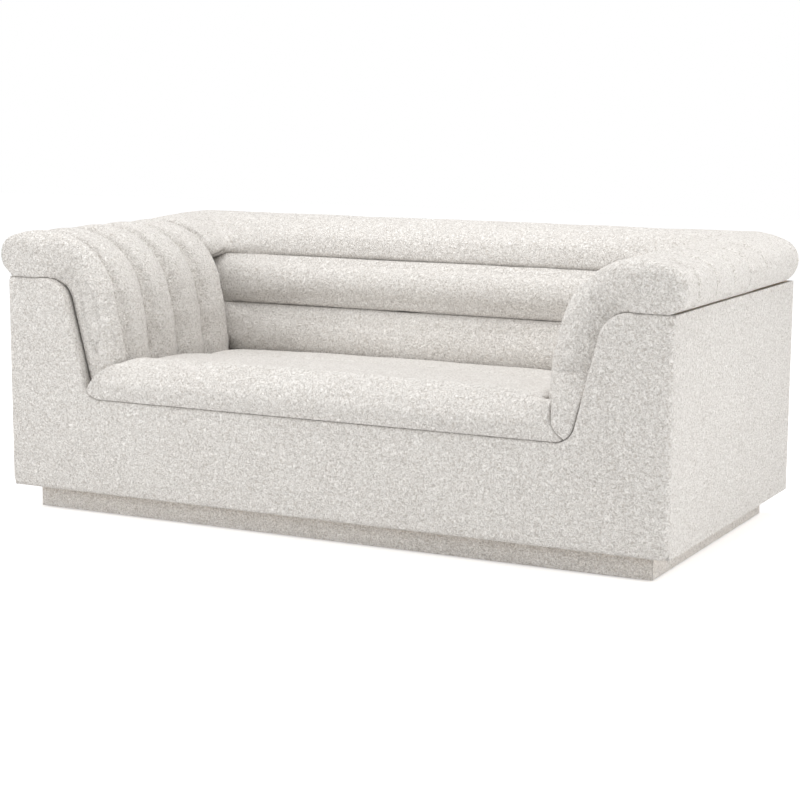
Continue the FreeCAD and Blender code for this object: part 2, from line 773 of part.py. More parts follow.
def arm_sections(index, at):
    """Cross-sections of a channel up the face, over the roll and down the slope."""
    profile = channel_profile(index)
    over = top_profile(index)
    base = crest.value + BASE_RADIUS
    reach = sheet.pad_reach
    sections = []
    for height in (sheet.pad_bottom, face_start.value):
        sections.append(channel_wire(profile, base, reach,
                                     lambda across, y, height=height: at(across, y, height)))
    centre = reach - sheet.face_radius
    for step in range(1, FACE_STEPS):
        angle = sheet.face_turn * step / FACE_STEPS

        def on_face(distance, y, angle=angle):
            across, up = on_circle(centre, face_start.value, distance, angle)
            return at(across, y, up)
        sections.append(channel_wire(profile, base - centre, sheet.face_radius, on_face))
    roll_up = sheet.overall_height - roll_radius.value
    for step in range(ROLL_STEPS + 1):
        angle = sheet.face_turn + (90 - sheet.face_turn) * step / ROLL_STEPS
        share = (angle - sheet.set_back_end) / (sheet.flush_start - sheet.set_back_end)
        share = min(max(share, 0), 1)

        def on_roll(distance, y, angle=angle):
            across, up = on_circle(crest.value, roll_up, distance, angle)
            return at(across, y, up)
        sections.append(channel_wire(mixed(profile, over, share), BASE_RADIUS, roll_radius.value, on_roll))
    nose = nose_profile(index)
    slope_end = slope_arc()[2]
    for step in range(1, SLOPE_STEPS + 1):
        share = step / SLOPE_STEPS
        across = crest.value + (slope_end[0] - crest.value) * share
        sections.append(channel_wire(mixed(over, nose, share), roll_up + BASE_RADIUS, slope_height(across),
                                     lambda up, y, across=across: at(across, y, up)))
    return sections


def arm_nose(index, at):
    """The rolled nose of a channel, from the end of the slope down to the top of the arm."""
    front, edge_roll, _, rear, _ = nose_profile(index)
    slope_end = slope_arc()[2]
    level = under_pad()[0][1]
    curve = nose_strokes(slope_end)
    bottom = curve[-1][-1]
    step = nose_up.value
    outline = curve + [(bottom, (crest.value, level)), ((crest.value, level), (crest.value, step)),
                       ((crest.value, step), (slope_end[0], step)), ((slope_end[0], step), slope_end)]
    nose = Part.Face(wire_of(outline, lambda across, up: at(across, front, up)))
    nose = nose.extrude(FreeCAD.Vector(0, rear - front, 0))
    if edge_roll == 0:
        return nose
    rounded = [edge for edge in nose.Edges
               if edge.BoundBox.YMax < front + edge_roll and edge.Curve.TypeId == "Part::GeomCircle"]
    return nose.makeFillet(edge_roll, rounded)


def arm_pad(side, index):
    """One channel of an arm, on the frame's own outline."""
    def at(across, y, up):
        return FreeCAD.Vector(side * (half_width.value - across), y, up)

    solid = True
    ruled = True
    pad = Part.makeLoft(arm_sections(index, at), solid, ruled)
    return pad.fuse(arm_nose(index, at)).cut(frame_side_of_pad(at)).removeSplitter()


def frame_side_of_pad(at):
    """What lies on the frame's side of the pads, over the whole depth of the sofa."""
    first, bend, last, _ = under_pad()
    low = sheet.pad_bottom - sheet.board
    foot = (lean_at(gap, as_size(low)).value, low)
    outer = -sheet.nose_overhang
    outline = [((outer, first[1]), first), (first, bend, last), (last, foot), (foot, (outer, low)),
               ((outer, low), (outer, first[1]))]
    face = Part.Face(wire_of(outline, lambda across, up: at(across, y_front.value, up)))
    return face.extrude(FreeCAD.Vector(0, sheet.body_depth, 0))


def panel_corner(turn, offset):
    """A point on the panel's corner beside the seat, the turn in degrees from its lowest point."""
    _, end, radius = seat_corner(offset)
    centre, low = values(end)
    return on_circle(centre, low + radius.value, radius.value, turn - 90 - 2 * turn)


def swollen(first, last, swell):
    """The middle of a curve between two points that stands off their chord."""
    across = last[0] - first[0]
    up = last[1] - first[1]
    length = math.hypot(across, up)
    middle = ((first[0] + last[0]) / 2, (first[1] + last[1]) / 2)
    return (middle[0] - up / length * swell, middle[1] + across / length * swell)


def lap_strokes(clearance):
    """On the right the arm laps over the end of the seat: that end, from the panel's corner up."""
    low = panel_corner(sheet.lap_turn, gap)
    high = (sheet.lap_reach + clearance, sheet.lap_height - clearance)
    low = (low[0] + clearance, low[1])
    return [(low, swollen(low, high, -sheet.lap_swell), high), (high, (high[0], sheet.lap_top))]


def arm_lap():
    """The part of the right arm's front channel that fills the panel's corner over the seat."""
    curve, upright = lap_strokes(0)
    start, _, _ = seat_corner(gap)
    start = values(start)
    low = curve[0]
    corner_turn = (sheet.lap_turn + 90 - sheet.panel_lean) / 2
    top = (lean_at(gap, named("lap_top")).value, sheet.lap_top)
    strokes = [curve, upright, (upright[-1], top), (top, start),
               (start, panel_corner(corner_turn, gap), low)]
    front = y_front.value
    back = (panel_back + gap).value

    def from_front(across, up):
        return FreeCAD.Vector(half_width.value - across, front, up)
    lap = Part.Face(wire_of(strokes, from_front)).extrude(FreeCAD.Vector(0, back - front, 0))
    inner_edge = half_width.value - sheet.lap_reach
    edges = [edge for edge in lap.Edges if edge.BoundBox.YMax < front + gap.value
             and abs(edge.BoundBox.XMax - inner_edge) < gap.value and edge.BoundBox.XLength < gap.value]
    lap = lap.makeFillet(sheet.lap_rounding, edges)
    ramp = Part.makePolygon([FreeCAD.Vector(inner_edge, front, sheet.lap_flush),
                             FreeCAD.Vector(inner_edge, back, sheet.lap_top),
                             FreeCAD.Vector(inner_edge, front, sheet.lap_top),
                             FreeCAD.Vector(inner_edge, front, sheet.lap_flush)])
    return lap.cut(Part.Face(ramp).extrude(FreeCAD.Vector(sheet.arm_front_width, 0, 0)))


def make_arm_pads():
    for name, side in SIDES:
        for index in range(1, int(sheet.channel_count) + 2):
            pad = arm_pad(side, index)
            if index == 1 and side > 0:
                pad = pad.fuse(arm_lap()).removeSplitter()
            coded_piece("%s_arm_channel_%d" % (name, index), pad)


# Back pads: two level channels between the arms, and a roll over the top that turns the
# corners and meets the last channel of each arm.
def groove_point(height):
    return (crown_at(height) - named("groove_depth"), height)


def chord_radius(first, last, rise):
    across = last[0] - first[0]
    up = last[1] - first[1]
    return (across * across + up * up + 4 * rise * rise) / (8 * rise)


def shoulder_middle():
    """The point on the shoulder where the back roll and the channel under it part."""
    start, _, radius = shoulder(gap)
    return (start[0] + radius * sin(half_turn), start[1] - radius + radius * cos(half_turn))


def room_between_arms():
    """The space between the arms' shells, up to the ends of the back roll that turn the corners."""
    foot = values((lean_at(gap, named("pad_bottom")), named("pad_bottom")))
    start, end, radius = shoulder(gap)
    bend_turn = (sheet.panel_lean + 90 - half_turn.value) / 2
    bend = on_circle(start[0].value, (start[1] - radius).value, radius.value, bend_turn)
    across, up = values(groove_point(back_groove + named("back_pitch")))
    groove = (across, up - sheet.cloth_gap)
    inner = half_width.value
    high = sheet.overall_height
    strokes = [((inner, foot[1]), foot), (foot, values(end)), (values(end), bend, values(shoulder_middle())),
               (values(shoulder_middle()), groove), (groove, (across, high)),
               ((across, high), (inner, high)), ((inner, high), (inner, foot[1]))]
    halves = []
    for _, side in SIDES:
        outline = wire_of(strokes, lambda across, up: FreeCAD.Vector(side * (inner - across), 0, up))
        halves.append(Part.Face(outline).extrude(FreeCAD.Vector(0, y_back.value, 0)))
    return halves[0].fuse(halves[1]).removeSplitter()


def make_back_channels():
    """Two level channels, cut at their ends to the shells of the arms."""
    low = back_groove
    high = low + named("back_pitch")
    foot = named("pad_bottom")
    hidden = low - named("back_pitch")
    deep = named("groove_depth")
    first = (named("pad_reach") - deep, hidden)
    second = groove_point(low - gap)
    lower = [(lean_at(gap, foot), foot), (first[0], foot), first,
             second + (chord_radius(first, second, deep), 1), (lean_at(gap, low - gap), low - gap)]
    first = groove_point(low)
    second = groove_point(high)
    _, end, radius = shoulder(gap)
    upper = [(lean_at(gap, low), low), first, second + (chord_radius(first, second, deep), 1),
             shoulder_middle(), end + (radius, -1)]
    room = room_between_arms()
    for name, outline in (("back_channel_lower", lower), ("back_channel_upper", upper)):
        corners = [tuple(as_size(number).value for number in corner) for corner in outline]
        strokes = strokes_of(corners)
        reach = half_width.value

        def from_side(across, up):
            return FreeCAD.Vector(-reach, y_back.value - across, up)
        bar = Part.Face(wire_of(strokes, from_side)).extrude(FreeCAD.Vector(2 * reach, 0, 0))
        coded_piece(name, bar.common(room).removeSplitter())


def strokes_of(corners):
    """Strokes round a closed outline whose corners may carry the radius and turn of an arc."""
    strokes = []
    for index, corner in enumerate(corners):
        before = corners[index - 1]
        if len(corner) == 2:
            strokes.append((before[:2], corner))
        else:
            middle = arc_middle(before[:2], corner[:2], corner[2], corner[3])
            strokes.append((before[:2], middle, corner[:2]))
    return strokes


def roll_strokes():
    """Outline of the back roll, from its groove over the crest and the nose to the shoulder."""
    groove = values(groove_point(back_groove + named("back_pitch")))
    groove = (groove[0], groove[1] + sheet.cloth_gap)
    roll_up = sheet.overall_height - roll_radius.value
    blend = on_circle(crest.value, roll_up, roll_radius.value, sheet.roll_blend)
    swell = ((groove[0] + blend[0]) / 2 + sheet.groove_depth / 3, (groove[1] + blend[1]) / 2)
    roll_mid = on_circle(crest.value, roll_up, roll_radius.value, (sheet.roll_blend + 90) / 2)
    top, slope_mid, slope_end = slope_arc()
    nose = nose_strokes(slope_end)
    start = under_pad()[0]
    radius = sheet.shoulder_radius + sheet.cloth_gap
    share = (90 - sheet.panel_lean) / 2
    seat_point = on_circle(start[0], start[1] - radius, radius, 90 - share)
    half_way = on_circle(start[0], start[1] - radius, radius, 90 - share / 2)
    return [(seat_point, groove), (groove, swell, blend), (blend, roll_mid, top),
            (top, slope_mid, slope_end)] + nose + [(nose[-1][-1], start), (start, half_way, seat_point)]


def nose_strokes(slope_end):
    radius = sheet.nose_radius
    turns = (90 + sheet.nose_turn, 135 + sheet.nose_turn / 2, 180, 225, 270)
    points = [on_circle(nose_in.value, nose_up.value, radius, turn) for turn in turns]
    return [(slope_end, points[1], points[2]), (points[2], points[3], points[4])]


def make_back_roll():
    corner = sheet.corner_radius - sheet.nose_overhang
    end_x = half_width.value - corner
    end_y = y_back.value - corner

    def across_back(distance, up):
        return FreeCAD.Vector(-end_x, y_back.value - distance, up)

    strokes = roll_strokes()
    straight = Part.Face(wire_of(strokes, across_back)).extrude(FreeCAD.Vector(2 * end_x, 0, 0))
    dip = strokes[0][0]
    level = under_pad()[0][1]
    for side in (-1, 1):
        start = side * (half_width.value - dip[0])
        block = Part.makeBox(abs(end_x - start * side), end_y, level,
                             FreeCAD.Vector(min(start, side * end_x), 0, 0))
        straight = straight.cut(block)
    pieces = []
    last_groove = y_front.value + sheet.front_channel + sheet.channel_count * channel_pitch.value
    last_groove += sheet.cloth_gap / 2
    slope_end = slope_arc()[2]
    nose = nose_strokes(slope_end)
    inner_top = (corner, slope_height(corner))
    between = (corner + slope_end[0]) / 2
    bottom = nose[-1][-1]
    quarter = [((corner, bottom[1]), inner_top), (inner_top, (between, slope_height(between)), slope_end)]
    quarter += nose + [(bottom, (corner, bottom[1]))]
    for side in (-1, 1):
        def along_arm(distance, up):
            return FreeCAD.Vector(side * (half_width.value - distance), last_groove, up)
        arm_part = Part.Face(wire_of(roll_strokes(), along_arm))
        pieces.append(arm_part.extrude(FreeCAD.Vector(0, end_y - last_groove, 0)))

        def at_corner(distance, up):
            return FreeCAD.Vector(side * (half_width.value - distance), end_y, up)
        turned = Part.Face(wire_of(quarter, at_corner))
        corner_axis = FreeCAD.Vector(side * end_x, end_y, 0)
        pieces.append(turned.revolve(corner_axis, FreeCAD.Vector(0, 0, 1), side * 90))
    coded_piece("back_top_roll", straight.multiFuse(pieces).removeSplitter())


# Seat pad: one crowned pad with two sewn seams, a rounded front and two ears that fill the
# corners of the front panel beside the arms.
def seat_top(y, rise):
    share = (y - y_front.value) / (seat_rear.value - y_front.value)
    return sheet.seat_front_height + share * (sheet.seat_back_height - sheet.seat_front_height) + rise


SEAT_STEPS = 2


def seat_strokes(rise):
    front = y_front.value
    rear = seat_rear.value
    low = sheet.seat_seam + sheet.cloth_gap
    under = seat_pad_under.value
    radius = sheet.seat_front_radius
    back = panel_back.value - sheet.cloth_gap
    first = front + sheet.seat_seam_first
    second = first + sheet.seat_seam_pitch
    swell = sheet.seat_seam_depth
    round_end = (front + radius, seat_top(front + radius, rise))
    round_start = (front, round_end[1] - radius)
    round_mid = on_circle(front + radius, round_start[1], radius, 135)
    rear_edge = sheet.seat_rear_room
    rear_top = (rear - rear_edge, seat_top(rear - rear_edge, rise))
    rear_side = (rear, rear_top[1] - rear_edge)
    rear_mid = on_circle(rear - rear_edge, rear_side[1], rear_edge, 45)
    seams = [(first, seat_top(first, rise) - swell), (second, seat_top(second, rise) - swell)]
    tops = [round_end] + seams + [rear_top]
    strokes = [((back, low), (front, low)), ((front, low), round_start), (round_start, round_mid, round_end)]
    for start, end in zip(tops, tops[1:]):
        middle = (start[0] + end[0]) / 2
        strokes.append((start, (middle, seat_top(middle, rise) + swell / 2), end))
    strokes += [(rear_top, rear_mid, rear_side), (rear_side, (rear, under)), ((rear, under), (back, under)),
                ((back, under), (back, low))]
    return strokes


def make_seat_pad():
    half = seat_half.value
    wires = []
    for step in range(2 * SEAT_STEPS + 1):
        share = step / SEAT_STEPS - 1

        def place(y, up):
            return FreeCAD.Vector(share * half, y, up)
        wires.append(wire_of(seat_strokes(sheet.seat_crown * (1 - share ** 2)), place))
    solid = True
    ruled = True
    pad = Part.makeLoft(wires, solid, ruled)
    for side in (-1, 1):
        pad = pad.fuse(seat_ear(side))
    coded_piece("seat_pad", pad.removeSplitter())


def seat_end(side):
    """Outline of the seat's end: round on the left, and under the arm's lap on the right."""
    if side > 0:
        curve, upright = lap_strokes(sheet.cloth_gap)
        return [curve, (upright[0], (upright[0][0], sheet.seat_front_height))]
    low = panel_corner(sheet.seat_end_turn, gap)
    high = (sheet.seat_end_reach, sheet.seat_front_height)
    return [(low, swollen(low, high, sheet.seat_end_swell), high)]


def seat_ear(side):
    """The pad's front beside the arm, held to the panel's corner on its outer side."""
    _, end, _ = seat_corner(gap)
    end = values(end)
    edge = seat_end(side)
    leave = edge[0][0]
    top = edge[-1][-1]
    turn = sheet.lap_turn if side > 0 else sheet.seat_end_turn
    inner = sheet.pad_reach + sheet.panel_depth
    strokes = [((inner, end[1]), end), (end, panel_corner(turn / 2, gap), leave)] + edge
    strokes += [(top, (inner, top[1])), ((inner, top[1]), (inner, end[1]))]
    front = y_front.value
    back = panel_back.value - sheet.cloth_gap

    def from_front(distance, up):
        return FreeCAD.Vector(side * (half_width.value - distance), front, up)
    outline = Part.Face(wire_of(strokes, from_front)).extrude(FreeCAD.Vector(0, back - front, 0))
    radius = sheet.seat_front_radius
    low = end[1]
    rounding = [((back, low), (front, low)), ((front, low), (front, top[1] - radius)),
                ((front, top[1] - radius), on_circle(front + radius, top[1] - radius, radius, 150),
                 on_circle(front + radius, top[1] - radius, radius, 115))]
    last = rounding[-1][-1]
    rounding += [(last, (back, last[1])), ((back, last[1]), (back, low))]

    def from_side(y, up):
        return FreeCAD.Vector(side * (half_width.value - inner), y, up)
    profile = Part.Face(wire_of(rounding, from_side)).extrude(FreeCAD.Vector(side * inner, 0, 0))
    return outline.common(profile)


def check_and_write():
    doc.recompute()
    for obj in doc.Objects:
        if "Invalid" in obj.State or "Error" in obj.State:
            raise RuntimeError("failed: " + obj.Name)
    for piece in parts:
        if piece.Shape.isNull() or not piece.Shape.isValid():
            raise RuntimeError("bad shape: " + piece.Label)
    os.makedirs("parts", exist_ok=True)
    for piece in parts:
        piece.Shape.exportStep("parts/%s.step" % piece.Label)
        box = piece.Shape.BoundBox
        print("%-26s solids %d  volume %8.0f cm3  X %7.1f %7.1f  Y %7.1f %7.1f  Z %6.1f %6.1f" % (
            piece.Label, len(piece.Shape.Solids), piece.Shape.Volume / 1000, box.XMin, box.XMax,
            box.YMin, box.YMax, box.ZMin, box.ZMax))
    print(len(parts), "pieces")


make_plinth()
make_blocks_and_glides()
make_plinth_covers()
make_base()
make_dust_cloths()
make_front()
make_deck()
make_webbing()
make_foam()
make_arm_frame()
make_back_frame()
make_body_covers()
make_arm_pads()
make_back_channels()
make_back_roll()
make_seat_pad()
check_and_write()
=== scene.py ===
import json
import math

import bmesh
import bpy
from mathutils import Matrix, Vector, noise
from mathutils.bvhtree import BVHTree


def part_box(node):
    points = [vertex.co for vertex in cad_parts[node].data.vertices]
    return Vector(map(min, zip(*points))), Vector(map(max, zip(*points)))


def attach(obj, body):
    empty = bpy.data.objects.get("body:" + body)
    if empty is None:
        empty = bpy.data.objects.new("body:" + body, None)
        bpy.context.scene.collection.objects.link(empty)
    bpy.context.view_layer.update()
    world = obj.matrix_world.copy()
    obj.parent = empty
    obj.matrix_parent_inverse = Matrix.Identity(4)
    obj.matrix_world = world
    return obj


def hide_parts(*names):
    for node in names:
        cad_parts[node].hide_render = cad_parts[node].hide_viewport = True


# The looks of a tuxedo sofa in cream boucle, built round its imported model.
# Metres. X runs across the sofa, the front faces -Y, Z is up and the floor is at zero.

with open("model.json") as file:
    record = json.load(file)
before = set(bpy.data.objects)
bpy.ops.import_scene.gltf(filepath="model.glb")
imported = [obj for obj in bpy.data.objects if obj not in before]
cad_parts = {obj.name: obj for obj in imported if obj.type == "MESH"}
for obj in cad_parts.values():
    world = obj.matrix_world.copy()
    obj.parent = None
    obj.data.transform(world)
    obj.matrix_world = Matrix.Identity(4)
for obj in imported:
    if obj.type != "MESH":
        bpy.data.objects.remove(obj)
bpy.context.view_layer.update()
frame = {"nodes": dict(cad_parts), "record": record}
scene = bpy.context.scene


# Camera: the photograph's viewpoint, as a turn round a point inside the sofa.
def place_camera():
    azimuth = math.radians(27.28)
    elevation = math.radians(9.08)
    roll = math.radians(0.28)
    target = Vector((-0.0025, -0.019, 0.2984))
    distance = 5.2067
    picture = 800
    centre_left = 2.05
    centre_down = 1.12

    ahead = Vector((-math.sin(azimuth) * math.cos(elevation),
                    math.cos(azimuth) * math.cos(elevation),
                    -math.sin(elevation)))
    level = Vector((math.cos(azimuth), math.sin(azimuth), 0))
    above = level.cross(ahead)
    right = level * math.cos(roll) + above * math.sin(roll)
    up = above * math.cos(roll) - level * math.sin(roll)

    data = bpy.data.cameras.new("photo_camera")
    data.sensor_width = 36
    data.lens = 87.97
    data.shift_x = centre_left / picture
    data.shift_y = centre_down / picture
    camera = bpy.data.objects.new("photo_camera", data)
    scene.collection.objects.link(camera)
    turn = Matrix((right, up, -ahead)).transposed().to_4x4()
    camera.matrix_world = Matrix.Translation(target - ahead * distance) @ turn
    scene.camera = camera


# Materials. Each starts from the point's own place in metres, so a pattern keeps its real size.
class Finish:
    """A node material under construction."""

    def __init__(self, name):
        self.material = bpy.data.materials.new(name)
        self.material.use_nodes = True
        self.tree = self.material.node_tree
        self.tree.nodes.clear()
        self.place = self.add("ShaderNodeTexCoord").outputs["Object"]

    def add(self, kind, inputs=None, **settings):
        node = self.tree.nodes.new(kind)
        for name, value in settings.items():
            setattr(node, name, value)
        for name, value in (inputs or {}).items():
            self.feed(node.inputs[name], value)
        return node

    def feed(self, socket, value):
        if isinstance(value, bpy.types.NodeSocket):
            self.tree.links.new(value, socket)
        else:
            socket.default_value = value

    def noise(self, scale, detail=2.0, roughness=0.5, distortion=0.0, place=None):
        inputs = {"Vector": place or self.place, "Scale": scale, "Detail": detail,
                  "Roughness": roughness, "Distortion": distortion}
        return self.add("ShaderNodeTexNoise", inputs)

    def math(self, operation, first, second=0.0, third=0.0):
        inputs = {0: first, 1: second, 2: third}
        return self.add("ShaderNodeMath", inputs, operation=operation).outputs[0]

    def between(self, value, low, high, to_low=0.0, to_high=1.0):
        inputs = {"Value": value, "From Min": low, "From Max": high, "To Min": to_low, "To Max": to_high}
        return self.add("ShaderNodeMapRange", inputs, clamp=True).outputs["Result"]

    def blend(self, share, first, second):
        node = self.add("ShaderNodeMix", data_type="RGBA")
        self.feed(node.inputs[0], share)
        self.feed(node.inputs[6], first)
        self.feed(node.inputs[7], second)
        return node.outputs[2]

    def stretch(self, scale):
        inputs = {"Vector": self.place, "Scale": scale}
        return self.add("ShaderNodeMapping", inputs).outputs["Vector"]

    def bump(self, height, depth, normal=None):
        inputs = {"Height": height, "Distance": depth, "Strength": 1.0}
        if normal is not None:
            inputs["Normal"] = normal
        return self.add("ShaderNodeBump", inputs).outputs["Normal"]

    def surface(self, colour, normal, roughness, constants=None):
        shader = self.add("ShaderNodeBsdfPrincipled")
        self.feed(shader.inputs["Base Color"], colour)
        self.feed(shader.inputs["Roughness"], roughness)
        self.feed(shader.inputs["Normal"], normal)
        for name, value in (constants or {}).items():
            shader.inputs[name].default_value = value
        output = self.add("ShaderNodeOutputMaterial")
        self.tree.links.new(shader.outputs[0], output.inputs[0])
        return self.material


def boucle():
    """Looped yarn: curls of about 5 mm with painted shade in the gaps between them, and a soft sheen."""
    cloth = Finish("boucle")
    drift = cloth.noise(70, detail=1.0).outputs["Color"]
    shifted = cloth.add("ShaderNodeVectorMath", {0: drift, 1: (0.5, 0.5, 0.5)},
                        operation="SUBTRACT").outputs[0]
    scaled = cloth.add("ShaderNodeVectorMath", {0: shifted, "Scale": 0.012}, operation="SCALE").outputs[0]
    warped = cloth.add("ShaderNodeVectorMath", {0: cloth.place, 1: scaled}, operation="ADD").outputs[0]

    wave = cloth.noise(205, detail=1.0, place=warped).outputs["Fac"]
    ridge = cloth.math("ABSOLUTE", cloth.math("SUBTRACT", wave, 0.5))
    yarn = cloth.between(ridge, 0.0, 0.09, 1.0, 0.0)
    cells = cloth.add("ShaderNodeTexVoronoi", {"Vector": warped, "Scale": 250.0}, feature="SMOOTH_F1")
    loops = cloth.between(cells.outputs["Distance"], 0.15, 0.75, 1.0, 0.0)
    fibre = cloth.noise(1100, detail=2.0).outputs["Fac"]
    height = cloth.math("MULTIPLY_ADD", yarn, 0.45, cloth.math("MULTIPLY", loops, 0.55))
    height = cloth.math("MULTIPLY_ADD", fibre, 0.18, height)

    # Painted shade: where the height is low, between the loops, the colour goes to a darker tone that
    # stands in for the shade falling in the gaps.
    depth = cloth.between(height, 0.15, 0.75)
    patch = cloth.between(cloth.noise(9, detail=3.0).outputs["Fac"], 0.3, 0.7)
    warm = cloth.blend(patch, (0.90, 0.87, 0.835, 1), (0.91, 0.885, 0.85, 1))
    painted_gap_shade = cloth.blend(patch, (0.49, 0.455, 0.415, 1), (0.52, 0.485, 0.445, 1))
    colour = cloth.blend(depth, painted_gap_shade, warm)
    roughness = cloth.between(height, 0.2, 1.0, 1.0, 0.82)
    hand = cloth.noise(14, detail=2.0).outputs["Fac"]
    normal = cloth.bump(hand, 0.004)
    normal = cloth.bump(height, 0.0026, normal)
    constants = {"Sheen Weight": 0.25, "Sheen Roughness": 0.6, "Sheen Tint": (1.0, 0.98, 0.95, 1),
                 "Specular IOR Level": 0.15}
    return cloth.surface(colour, normal, roughness, constants)


def timber():
    """Pale softwood with growth rings drawn out along X, the way that the long rails run."""
    wood = Finish("timber")
    warped = wood.stretch((2.2, 14, 14))
    rings = wood.add("ShaderNodeTexWave", {"Vector": warped, "Scale": 2.5, "Distortion": 6.0,
                                           "Detail": 3.0, "Detail Scale": 1.2}, bands_direction="Z")
    pores = wood.noise(60, detail=4.0, place=wood.stretch((0.4, 6, 6))).outputs["Fac"]
    share = wood.math("MULTIPLY_ADD", pores, 0.5, wood.math("MULTIPLY", rings.outputs["Fac"], 0.5))
    colour = wood.blend(share, (0.56, 0.37, 0.20, 1), (0.76, 0.58, 0.38, 1))
    normal = wood.bump(share, 0.0006)
    roughness = wood.between(share, 0.2, 0.8, 0.75, 0.55)
    return wood.surface(colour, normal, roughness, {"Specular IOR Level": 0.35})


def plywood():
    """Birch plywood: a fine figure under light and dark bands of 1.4 mm, as its veneers show."""
    wood = Finish("plywood")
    figure = wood.noise(30, detail=4.0, distortion=0.6, place=wood.stretch((1, 1, 0.2))).outputs["Fac"]
    layers = wood.add("ShaderNodeTexWave", {"Vector": wood.place, "Scale": 110.0, "Distortion": 0.4},
                      bands_direction="Y").outputs["Fac"]
    share = wood.math("MULTIPLY_ADD", layers, 0.35, wood.math("MULTIPLY", figure, 0.65))
    colour = wood.blend(share, (0.50, 0.35, 0.21, 1), (0.78, 0.63, 0.45, 1))
    normal = wood.bump(share, 0.0004)
    roughness = wood.between(figure, 0.3, 0.7, 0.7, 0.5)
    return wood.surface(colour, normal, roughness, {"Specular IOR Level": 0.35})


def foam():
    """Cut seat foam: open cells under 2 mm across."""
    block = Finish("foam")
    cells = block.add("ShaderNodeTexVoronoi", {"Vector": block.place, "Scale": 650.0}).outputs["Distance"]
    tone = block.noise(8, detail=2.0).outputs["Fac"]
    share = block.math("MULTIPLY_ADD", cells, 0.7, block.math("MULTIPLY", tone, 0.3))
    colour = block.blend(share, (0.50, 0.42, 0.27, 1), (0.82, 0.76, 0.60, 1))
    return block.surface(colour, block.bump(cells, 0.0008), block.between(tone, 0.3, 0.7, 0.9, 1.0))


def felt():
    """Pressed grey fibres."""
    mat = Finish("felt")
    fibres = mat.noise(420, detail=4.0, distortion=2.5, place=mat.stretch((1, 0.35, 1))).outputs["Fac"]
    blots = mat.noise(25, detail=3.0).outputs["Fac"]
    share = mat.math("MULTIPLY_ADD", fibres, 0.7, mat.math("MULTIPLY", blots, 0.3))
    colour = mat.blend(share, (0.14, 0.14, 0.15, 1), (0.42, 0.42, 0.43, 1))
    return mat.surface(colour, mat.bump(fibres, 0.0007), mat.between(blots, 0.3, 0.7, 0.9, 1.0))


def webbing():
    """Elastic webbing: a plain weave of ribs about 2.5 mm wide."""
    strap = Finish("webbing")
    along = strap.add("ShaderNodeTexWave", {"Vector": strap.place, "Scale": 65.0}, bands_direction="X")
    across = strap.add("ShaderNodeTexWave", {"Vector": strap.place, "Scale": 65.0}, bands_direction="Y")
    weave = strap.math("MULTIPLY", along.outputs["Fac"], across.outputs["Fac"])
    fuzz = strap.noise(500, detail=2.0).outputs["Fac"]
    colour = strap.blend(weave, (0.05, 0.045, 0.04, 1), (0.26, 0.22, 0.17, 1))
    return strap.surface(colour, strap.bump(weave, 0.0006), strap.between(fuzz, 0.3, 0.7, 0.7, 0.95))


def dust_cloth():
    """Spun black cloth with a dimple every 3 mm."""
    cloth = Finish("dust_cloth")
    dimples = cloth.add("ShaderNodeTexVoronoi", {"Vector": cloth.place, "Scale": 330.0, "Randomness": 0.15})
    fibres = cloth.noise(700, detail=3.0, distortion=2.0).outputs["Fac"]
    share = cloth.math("MULTIPLY", dimples.outputs["Distance"], fibres)
    colour = cloth.blend(share, (0.012, 0.012, 0.013, 1), (0.07, 0.07, 0.072, 1))
    normal = cloth.bump(dimples.outputs["Distance"], 0.0004)
    return cloth.surface(colour, normal, cloth.between(fibres, 0.3, 0.7, 0.75, 0.95))


def glide_plastic():
    """Dark moulded plastic with fine scuffs."""
    shell = Finish("glide_plastic")
    scuffs = shell.noise(180, detail=5.0, distortion=1.5).outputs["Fac"]
    colour = shell.blend(shell.between(scuffs, 0.45, 0.75), (0.03, 0.03, 0.032, 1), (0.09, 0.09, 0.092, 1))
    return shell.surface(colour, shell.bump(scuffs, 0.0002), shell.between(scuffs, 0.4, 0.7, 0.35, 0.6))


MATERIALS = {make.__name__: make() for make in
             (boucle, timber, plywood, foam, felt, webbing, dust_cloth, glide_plastic)}


def dress_frame():
    """Gives every CAD node the material of its slot."""
    slots = {row["node"]: row["material_slot"] for row in frame["record"]["subparts"]}
    for name, node in frame["nodes"].items():
        node.data.materials.clear()
        node.data.materials.append(MATERIALS[slots[name]])


# Meshes.
def form_of(node):
    """A CAD node's form as a bmesh, with its loose triangles joined."""
    form = bmesh.new()
    form.from_mesh(frame["nodes"][node].data)
    bmesh.ops.remove_doubles(form, verts=form.verts, dist=0.00001)
    return form


def finished(form, name, slot, nodes):
    """Turns a bmesh into a piece that rides on the sofa and stands for CAD nodes."""
    mesh = bpy.data.meshes.new(name)
    form.to_mesh(mesh)
    form.free()
    piece = bpy.data.objects.new(name, mesh)
    scene.collection.objects.link(piece)
    mesh.materials.append(MATERIALS[slot])
    mesh.shade_smooth()
    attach(piece, "root")
    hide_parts(*nodes)
    return piece


def apply(piece, kind, **settings):
    """Adds a modifier to a piece and puts its result into the piece's mesh."""
    modifier = piece.modifiers.new(kind.lower(), kind)
    for name, value in settings.items():
        setattr(modifier, name, value)
    keep_result(piece)


def keep_result(piece):
    """Replaces a piece's mesh by what its modifiers make of it, and drops the modifiers."""
    graph = bpy.context.evaluated_depsgraph_get()
    result = bpy.data.meshes.new_from_object(piece.evaluated_get(graph))
    result.name = piece.name
    piece.modifiers.clear()
    piece.data = result
    result.shade_smooth()


# Padding. Each pad is cloth round the form of its CAD solid, blown up from inside by a simulation,
# pinned where it lies on the frame and pressed flat where it meets the pad beside it.
FRAMES = 12
PINNED_WITHIN = 0.009
PRESSURE = 4.0
ALONG_ARM = 1
UP_BACK = 2
# The seat's seams: where two cross its top, along Y, and how high one runs along its front.
SEAT_SEAMS = (-0.319, -0.054)
FRONT_SEAM = 0.378


